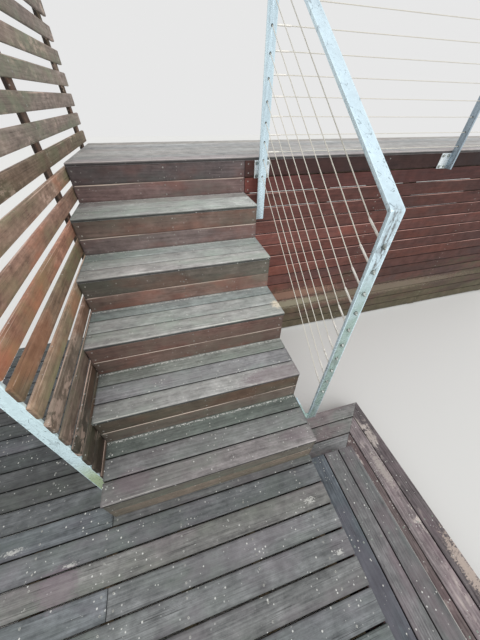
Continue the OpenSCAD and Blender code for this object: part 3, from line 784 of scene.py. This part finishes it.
def slat_tint(k):
    low, high = [(a, b) for a, b in zip(slat_steps, slat_steps[1:]) if a[0] <= k < b[0]][0]
    return tuple(Vector(low[1]).lerp(Vector(high[1]), (k - low[0]) / (high[0] - low[0])))


# The slats' bottom faces are painted darker, painted shade, and their top faces and top arrises paler, a painted
# highlight.
boards = [lay_board((-24, 130, z), (-5, WALL, z + 65), ALONG_Y, FACE_RIGHT, arris=4.5, tint=slat_tint(k),
                    arris_wear_and_painted_light=(0.1, 0.5), sides=(-0.6, 0.6), bloom=0.75 if k < 12 else 0.1, spread=0.05)
          for k, z in enumerate(slat_feet)]
join(boards, "screen_slat_boards", slat_finish, "screen_wood", "screen_slats")
for name, y, foot in (("middle", 1138, LOW_TOP), ("wall", 2040, 0)):
    upright = lay_board((-49, y, foot), (-24, y + 45, 2567), UPRIGHT, FACE_RIGHT, tint=(0.5, 0.46, 0.44))
    join([upright], f"screen_{name}_upright", slat_finish, "screen_wood", f"screen_{name}_batten")

# %% [markdown]
# ## Framing
#
# Joists, bearers, legs and stringers are sawn timber, mostly out of sight. The
# frame's own solids have the right shape, so a copy of each is merged, its flat
# faces are dissolved and its arrises are softened, and the grain is laid along
# each timber's longest side.

# %% Softened copies of the frame's solids
def merge():
    bpy.ops.mesh.remove_doubles(threshold=0.02 * MM)


def flatten():
    bpy.ops.mesh.dissolve_limited(angle_limit=math.radians(1))


def clean_copy(name):
    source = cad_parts[name]
    deselect()
    piece = source.copy()
    piece.data = source.data.copy()
    bpy.context.collection.objects.link(piece)
    edit(piece)
    merge()
    flatten()
    deselect()
    return piece


def soften(piece, width, segments=2):
    pick([piece])
    round_over = piece.modifiers.new("round_over", "BEVEL")
    round_over.width, round_over.segments = width * MM, segments
    round_over.limit_method, round_over.angle_limit = "ANGLE", math.radians(35)
    bpy.ops.object.modifier_apply(modifier="round_over")


def islands(mesh):
    parent = list(range(len(mesh.vertices)))

    def root(i):
        while parent[i] != i:
            parent[i] = parent[parent[i]]
            i = parent[i]
        return i

    for edge in mesh.edges:
        a, b = root(edge.vertices[0]), root(edge.vertices[1])
        if a != b:
            parent[a] = b
    found = {}
    for i in range(len(mesh.vertices)):
        found.setdefault(root(i), []).append(i)
    return list(found.values())


def grain_copy(name, slope=None):
    piece = clean_copy(name)
    soften(piece, 3)
    mesh = piece.data
    grain = [None] * len(mesh.vertices)
    tint = [None] * len(mesh.vertices)
    for island in islands(mesh):
        points = [mesh.vertices[i].co for i in island]
        sizes = [max(p[k] for p in points) - min(p[k] for p in points) for k in range(3)]
        order = sorted(range(3), key=lambda k: -sizes[k])
        start = [chance.uniform(0, 40) for _ in range(3)]
        tone = math.exp(chance.gauss(0, 0.12))
        for i, p in zip(island, points):
            row = [p[k] for k in order]
            if slope is not None:
                row = [p.y * math.cos(slope) + p.z * math.sin(slope),
                       p.z * math.cos(slope) - p.y * math.sin(slope), p.x]
            grain[i] = [a + b for a, b in zip(row, start)]
            tint[i] = (tone, tone, tone, 1)
    write_attribute(mesh, "grain", grain)
    write_attribute(mesh, "tint", tint)
    write_attribute(mesh, "edge", [(0.0,)] * len(grain))
    join([piece], name + "_timber", frame_finish, "frame_wood", name)


for name in ("left_stringer", "middle_stringer", "right_stringer"):
    grain_copy(name, math.atan2(RISE, GOING))
for name in ("stringer_header", "lower_deck_joists", "lower_deck_bearers", "lower_deck_legs",
             "upper_side_step_supports", "lower_side_step_supports", "upper_deck_joists", "upper_deck_rim",
             "upper_deck_ledger", "upper_deck_front_legs", "upper_deck_back_legs"):
    grain_copy(name)

# %% [markdown]
# ## Welded steel
#
# The stair frame is one flat bar, mitred and welded at both knees, and the deck
# posts are welded to their rail. Copies of the frame's solids keep the drilled
# holes and the mitres exactly. They are joined, the hidden faces inside each
# weld are removed, and a bevel rounds the arrises and the knee as the zinc bath
# leaves them. Each vertex also learns how far across the bar it lies, so that
# the finish can paint a highlight on the arrises and keep the grime in the middle.

# %% Welded frames
BAR_WIDTH = 50


def round_knees(piece):
    edit(piece)
    bpy.ops.mesh.select_all(action="DESELECT")
    deselect()
    mesh = piece.data
    turns = {}
    for face in mesh.polygons:
        for key in face.edge_keys:
            turns.setdefault(key, []).append(face.normal)
    for edge in mesh.edges:
        a, b = (mesh.vertices[i].co for i in edge.vertices)
        ways = turns[tuple(sorted(edge.vertices))]
        folded = math.degrees(ways[0].angle(ways[1]))
        right_across = abs(abs(a.x - b.x) - BAR_WIDTH * MM) < 1 * MM and abs(a.z - b.z) < 1 * MM
        edge.select = right_across and 15 < folded < 80
    print("knee edges:", sum(edge.select for edge in mesh.edges))
    pick([piece])
    bpy.ops.object.mode_set(mode="EDIT")
    bpy.ops.mesh.select_mode(type="EDGE")
    bpy.ops.mesh.bevel(offset=5 * MM, segments=4, affect="EDGES")
    bpy.ops.mesh.select_mode(type="VERT")
    deselect()


def welded(names, title, finish, middle, reach=BAR_WIDTH / 2, axis=0, width=1.8, patina=0.0, knee=False):
    parts = [clean_copy(name) for name in names]
    pick(parts)
    if len(parts) > 1:
        bpy.ops.object.join()
        edit(parts[0])
        merge()
        bpy.ops.mesh.select_all(action="DESELECT")
        bpy.ops.mesh.select_interior_faces()
        bpy.ops.mesh.delete(type="FACE")
        edit(parts[0])
        flatten()
    if knee:
        round_knees(parts[0])
    soften(parts[0], width, 3)
    mesh = parts[0].data
    write_attribute(mesh, "across", [((v.co[axis] - middle * MM) / (reach * MM),) for v in mesh.vertices])
    write_attribute(mesh, "patina", [(patina,)] * len(mesh.vertices))
    join(parts[:1], title, finish, "galvanised_steel", *names, smooth=35)


FRAME_X, WIRE_Y = 1100, 1297
welded(["stair_lower_post", "stair_handrail", "stair_top_post"], "stair_frame_bar", bar_finish, FRAME_X,
       patina=1.0, knee=True)
welded(["deck_top_rail", "deck_post_1", "deck_post_2", "deck_post_3"], "deck_frame_bars", shaded_deck_bar_finish, WIRE_Y,
       axis=1)
welded(["screen_post"], "screen_post_bar", screen_bar_finish, -49, patina=0.34)
welded(["lower_post_bracket"], "lower_post_bracket_plate", bar_finish, 1040, reach=60, patina=0.5)
welded(["post_plates"], "post_plates_steel", plate_finish, 2500, reach=9000, width=1.2)

# %% [markdown]
# ## Turned and hexagonal fixings
#
# Screws, bolts, studs, nuts and washers all start as a small disc that is
# extruded and resized ring by ring, like turning on a lathe. Each is made once
# with few faces, and its copies are set on the boards or posts.

# %% Turned parts
def turned(name, rings, sides, recess=None):
    deselect()
    radius, z = rings[0]
    bpy.ops.mesh.primitive_circle_add(vertices=sides, radius=radius * MM, fill_type="NGON", location=(0, 0, 0))
    part = bpy.context.object
    part.name = name
    edit(part)
    bpy.ops.transform.translate(value=(0, 0, z * MM))
    for next_radius, next_z in rings[1:]:
        grow = next_radius / radius
        bpy.ops.mesh.extrude_region_move(TRANSFORM_OT_translate={"value": (0, 0, (next_z - z) * MM)})
        bpy.ops.transform.resize(value=(grow, grow, 1), center_override=(0, 0, next_z * MM))
        radius, z = next_radius, next_z
    if recess:
        bpy.ops.mesh.inset(thickness=recess[0] * MM, depth=0)
        bpy.ops.mesh.extrude_region_move(TRANSFORM_OT_translate={"value": (0, 0, -recess[1] * MM)})
    bpy.ops.mesh.select_all(action="SELECT")
    bpy.ops.mesh.normals_make_consistent(inside=False)
    deselect()
    return part


def along_way(way):
    return Vector(way).to_track_quat("Z", "Y").to_matrix().to_4x4()


def put(master, x, y, z, way, spin=0.0):
    copy = bpy.data.objects.new(master.name, master.data.copy())
    there = Matrix.Translation((x * MM, y * MM, z * MM))
    copy.data.transform(there @ along_way(way) @ Matrix.Rotation(spin, 4, "Z"))
    bpy.context.collection.objects.link(copy)
    return copy


screw_head = turned("screw_head", [(2.6, -1.6), (3.8, -0.2), (3.8, 0.1), (3.4, 0.3)], 10, recess=(1.5, 1.3))

# %% [markdown]
# ## Screws
#
# Two screws hold each board at each support. Their places follow from the
# stringers, joists and battens below.

# %% Screws
PAIR = (20, 70)


def screw_piece(name, places, way):
    screws = []
    for place in places:
        loose = [v + chance.uniform(-2, 2) * (way[k] == 0) for k, v in enumerate(place)]
        screws.append(put(screw_head, *loose, way, chance.uniform(0, 3)))
    join(screws, name, screw_finish, smooth=25)


strings = (23, 500, 977)
screw_piece("tread_screws", [(x, GOING * i + PITCH * b + o, LOW_TOP + RISE * (i + 1))
                             for i in range(5) for b in range(3) for o in PAIR for x in strings], FACE_UP)
screw_piece("riser_screws", [(x, GOING * i + NOSING, LOW_TOP + RISE * i + RISER_PITCH * b + o)
                             for i in range(6) for b in range(2) for o in PAIR for x in strings], FACE_FRONT)
joint_x = 13
joist_rows = (-758, -610, -310, -33, joint_x, 290, 590, 890)
screw_piece("lower_deck_screws", [(x, FRONT + PITCH * i + o, LOW_TOP) for i in range(26) for o in PAIR
                                  for x in joist_rows if i % 3 == 0 or x != joint_x], FACE_UP)
screw_piece("upper_deck_screws", [(428.6 * j + 23, DECK_Y + PITCH * i + o, HIGH_TOP) for i in range(8) for o in PAIR
                                  for j in range(11)], FACE_UP)
leg_rows = (1024, 2095, 3191, 4286)
screw_piece("cladding_screws", [(x, CLAD_Y, z + o) for z in row_feet for o in PAIR for x in leg_rows], FACE_FRONT)
screw_piece("end_cladding_screws", [(RIGHT, y, z + o) for z in row_feet for o in PAIR for y in (1392, 2085)],
            FACE_RIGHT)
screw_piece("side_step_screws",
            [(949 + PITCH * k + o, y, UPPER_TOP) for k in range(4) for o in PAIR for y in (-1158, -775, -393,
                                                                                           -11)] +
            [(1249 + PITCH * k + o, y, LOWER_TOP) for k in range(4) for o in PAIR for y in (-1158, -780, -400)] +
            [(x, -61 + PITCH * k + o, LOWER_TOP) for k in range(4) for o in PAIR for x in (1075, 1160, 1262)],
            FACE_UP)
screw_piece("slat_screws", [(-5, y, z + o) for z in slat_feet for o in (18, 47) for y in (1160, 2062)], FACE_RIGHT)

# %% [markdown]
# ## Bolts, nuts and studs
#
# The plates are bolted through the cladding with hexagon heads on washers. Each
# raking wire is pulled tight by a threaded stud through the lower post with a
# nut on its front, and the level wires have the same studs in the end posts.

# %% Fixings
hex_head = turned("hex_head", [(9.6, 0), (9.6, 5.4), (8.4, 6.4)], 6)
washer = turned("washer", [(10.8, 0), (10.8, 1.6), (10.3, 2)], 16)
hex_nut = turned("hex_nut", [(6.9, 0), (7.5, 0.6), (7.5, 5.2), (6.6, 6)], 6)
dome = turned("dome", [(4.6, 0), (4.6, 2.2), (4.0, 4.2), (2.6, 5.6)], 10)
thin_washer = turned("thin_washer", [(8.2, 0), (8.2, 1)], 14)
# A dark ring for each wire hole: a painted shadow in the hole round the wire.
shadow_ring = turned("shadow_ring", [(5.6, -1), (5.6, 0.6), (4.6, 1.2), (3.0, 1.0)], 14)


def spun(master, x, y, z, way):
    return put(master, x, y, z, way, chance.uniform(0, 3))


bolts = []
for x0, columns in ((1063, (14, 84)), (2557, (16, 62)), (4071, (16, 62))):
    for dx in columns:
        for z in (1555, 1485):
            bolts += [put(washer, x0 + dx, 1322, z, FACE_FRONT), spun(hex_head, x0 + dx, 1320, z, FACE_FRONT)]
for y, z in ((150, 450), (220, 450), (150, 545), (220, 545)):
    bolts += [put(washer, 1010, y, z, FACE_RIGHT), spun(hex_head, 1012, y, z, FACE_RIGHT)]
join(bolts, "plate_bolts", fixing_finish, smooth=30)

# %% Raking wires with their studs
def rope(start, finish_at, radius=2):
    deselect()
    start, finish_at = Vector(start) * MM, Vector(finish_at) * MM
    length = (finish_at - start).length
    bpy.ops.mesh.primitive_cylinder_add(vertices=10, radius=radius * MM, depth=1)
    part = bpy.context.object
    edit(part)
    bpy.ops.transform.resize(value=(1, 1, length), center_override=(0, 0, 0))
    bpy.ops.transform.translate(value=(0, 0, length / 2))
    cut_at([(0, 0, length * i / 8) for i in range(1, 8)], (0, 0, 1))
    deselect()
    write_attribute(part.data, "lay", [(math.atan2(v.co.y, v.co.x), v.co.z, 0) for v in part.data.vertices])
    part.data.transform(Matrix.Translation(start) @ along_way(finish_at - start))
    return part


def model_stud(length):
    return turned("stud", [(3.6, -9), (4, -8), (4, length - 22), (4, length - 6), (2.6, length)], 12)


POST_FRONT, TOP_POST_FRONT, STUD_RUN = 179, 1272, 97
RAKE_NUT, RAKE_FAR, RAKE_PITCH = 1518, 2290.7, 89
WIRE_X0, WIRE_X1 = 1125, 4165
level_heights = [HIGH_TOP + 25 + 84 * k for k in range(12)]
stud_tan = math.tan(math.radians(29))
ropes, studs, fittings, shadow_rings = [], [], [], []
for k in range(10):
    z0, z1 = RAKE_NUT - RAKE_PITCH * k, RAKE_FAR - RAKE_PITCH * k
    tip_y, tip_z = POST_FRONT + STUD_RUN, z0 + STUD_RUN * stud_tan
    slope = (z1 - tip_z) / (TOP_POST_FRONT - tip_y)
    ropes.append(rope((FRAME_X, tip_y - 4, tip_z - 4 * stud_tan), (FRAME_X, TOP_POST_FRONT + 18, z1 + 18 * slope)))
    stud = model_stud(math.hypot(STUD_RUN, STUD_RUN * stud_tan))
    studs.append(put(stud, FRAME_X, POST_FRONT, z0, (0, STUD_RUN, STUD_RUN * stud_tan)))
    bpy.data.objects.remove(stud)
    front = (0, -1, -stud_tan)
    fittings += [put(thin_washer, FRAME_X, POST_FRONT, z0, FACE_FRONT),
                 spun(hex_nut, FRAME_X, POST_FRONT - 1, z0, front),
                 put(dome, FRAME_X, POST_FRONT - 6, z0 - 5 * stud_tan, front),
                 spun(hex_nut, FRAME_X, POST_FRONT + 12, z0 + 12 * stud_tan, (0, 1, stud_tan)),
                 spun(hex_nut, FRAME_X, TOP_POST_FRONT + 12, z1 + 12 * slope, (0, 1, slope))]
    # Dark rings at the holes, painted shadow round each wire.
    shadow_rings.append(put(shadow_ring, FRAME_X, TOP_POST_FRONT, z1, FACE_FRONT))
shadow_rings += [put(shadow_ring, x, WIRE_Y, z, way) for z in level_heights for x,
            way in ((2639, FACE_LEFT), (2651, FACE_RIGHT))]
join(shadow_rings, "hole_shadow_rings", shadow_ring_finish, smooth=30)
join(ropes, "raking_wires", wire_finish, "wire", "stair_wires")
join(studs, "raking_wire_studs", stud_finish, smooth=30)
join(fittings, "raking_wire_nuts", fixing_finish, smooth=30)

# %% Level wires with their studs
ropes, studs, fittings = [], [], []
for z in level_heights:
    ropes.append(rope((WIRE_X0 + 70, WIRE_Y, z), (WIRE_X1 - 70, WIRE_Y, z)))
    stud = model_stud(84)
    studs += [put(stud, WIRE_X0, WIRE_Y, z, FACE_RIGHT), put(stud, WIRE_X1, WIRE_Y, z, FACE_LEFT)]
    bpy.data.objects.remove(stud)
    for x, way in ((WIRE_X0, FACE_LEFT), (WIRE_X1, FACE_RIGHT)):
        fittings += [put(thin_washer, x, WIRE_Y, z, way), spun(hex_nut, x + way[0], WIRE_Y, z, way)]
join(ropes, "level_wires", wire_finish, "wire", "deck_wires")
join(studs, "level_wire_studs", stud_finish, smooth=30)
join(fittings, "level_wire_nuts", fixing_finish, smooth=30)

for spare in list(board_store.values()) + [screw_head, hex_head, washer, hex_nut, dome, thin_washer, shadow_ring]:
    bpy.data.objects.remove(spare)

# %% [markdown]
# ## Floor and light
#
# A plain pale floor and an even sky, with one broad soft lamp from above and a
# little in front, show the boards about as their colours are written.

# %% Floor and light
deselect()
bpy.ops.mesh.primitive_plane_add(size=40, location=(1.5, 0.5, 0))
floor = bpy.context.object
floor.name = "floor"
floor_finish, tree, shader = new_finish("floor")
fill(shader, {"Base Color": paint(222, 222, 220), "Roughness": 0.9})
floor.data.materials.append(floor_finish)

sky = bpy.data.worlds.new("soft sky")
bpy.context.scene.world = sky
sky.use_nodes = True
fill(sky.node_tree.nodes["Background"].inputs, {"Color": (1.0, 1.0, 1.0, 1), "Strength": 0.8})
bpy.ops.object.light_add(type="SUN", location=(0, -2, 6), rotation=(math.radians(46), math.radians(6), 0))
lamp = bpy.context.object
lamp.name = "soft_lamp"
lamp.data.energy = 1.35
lamp.data.angle = math.radians(70)
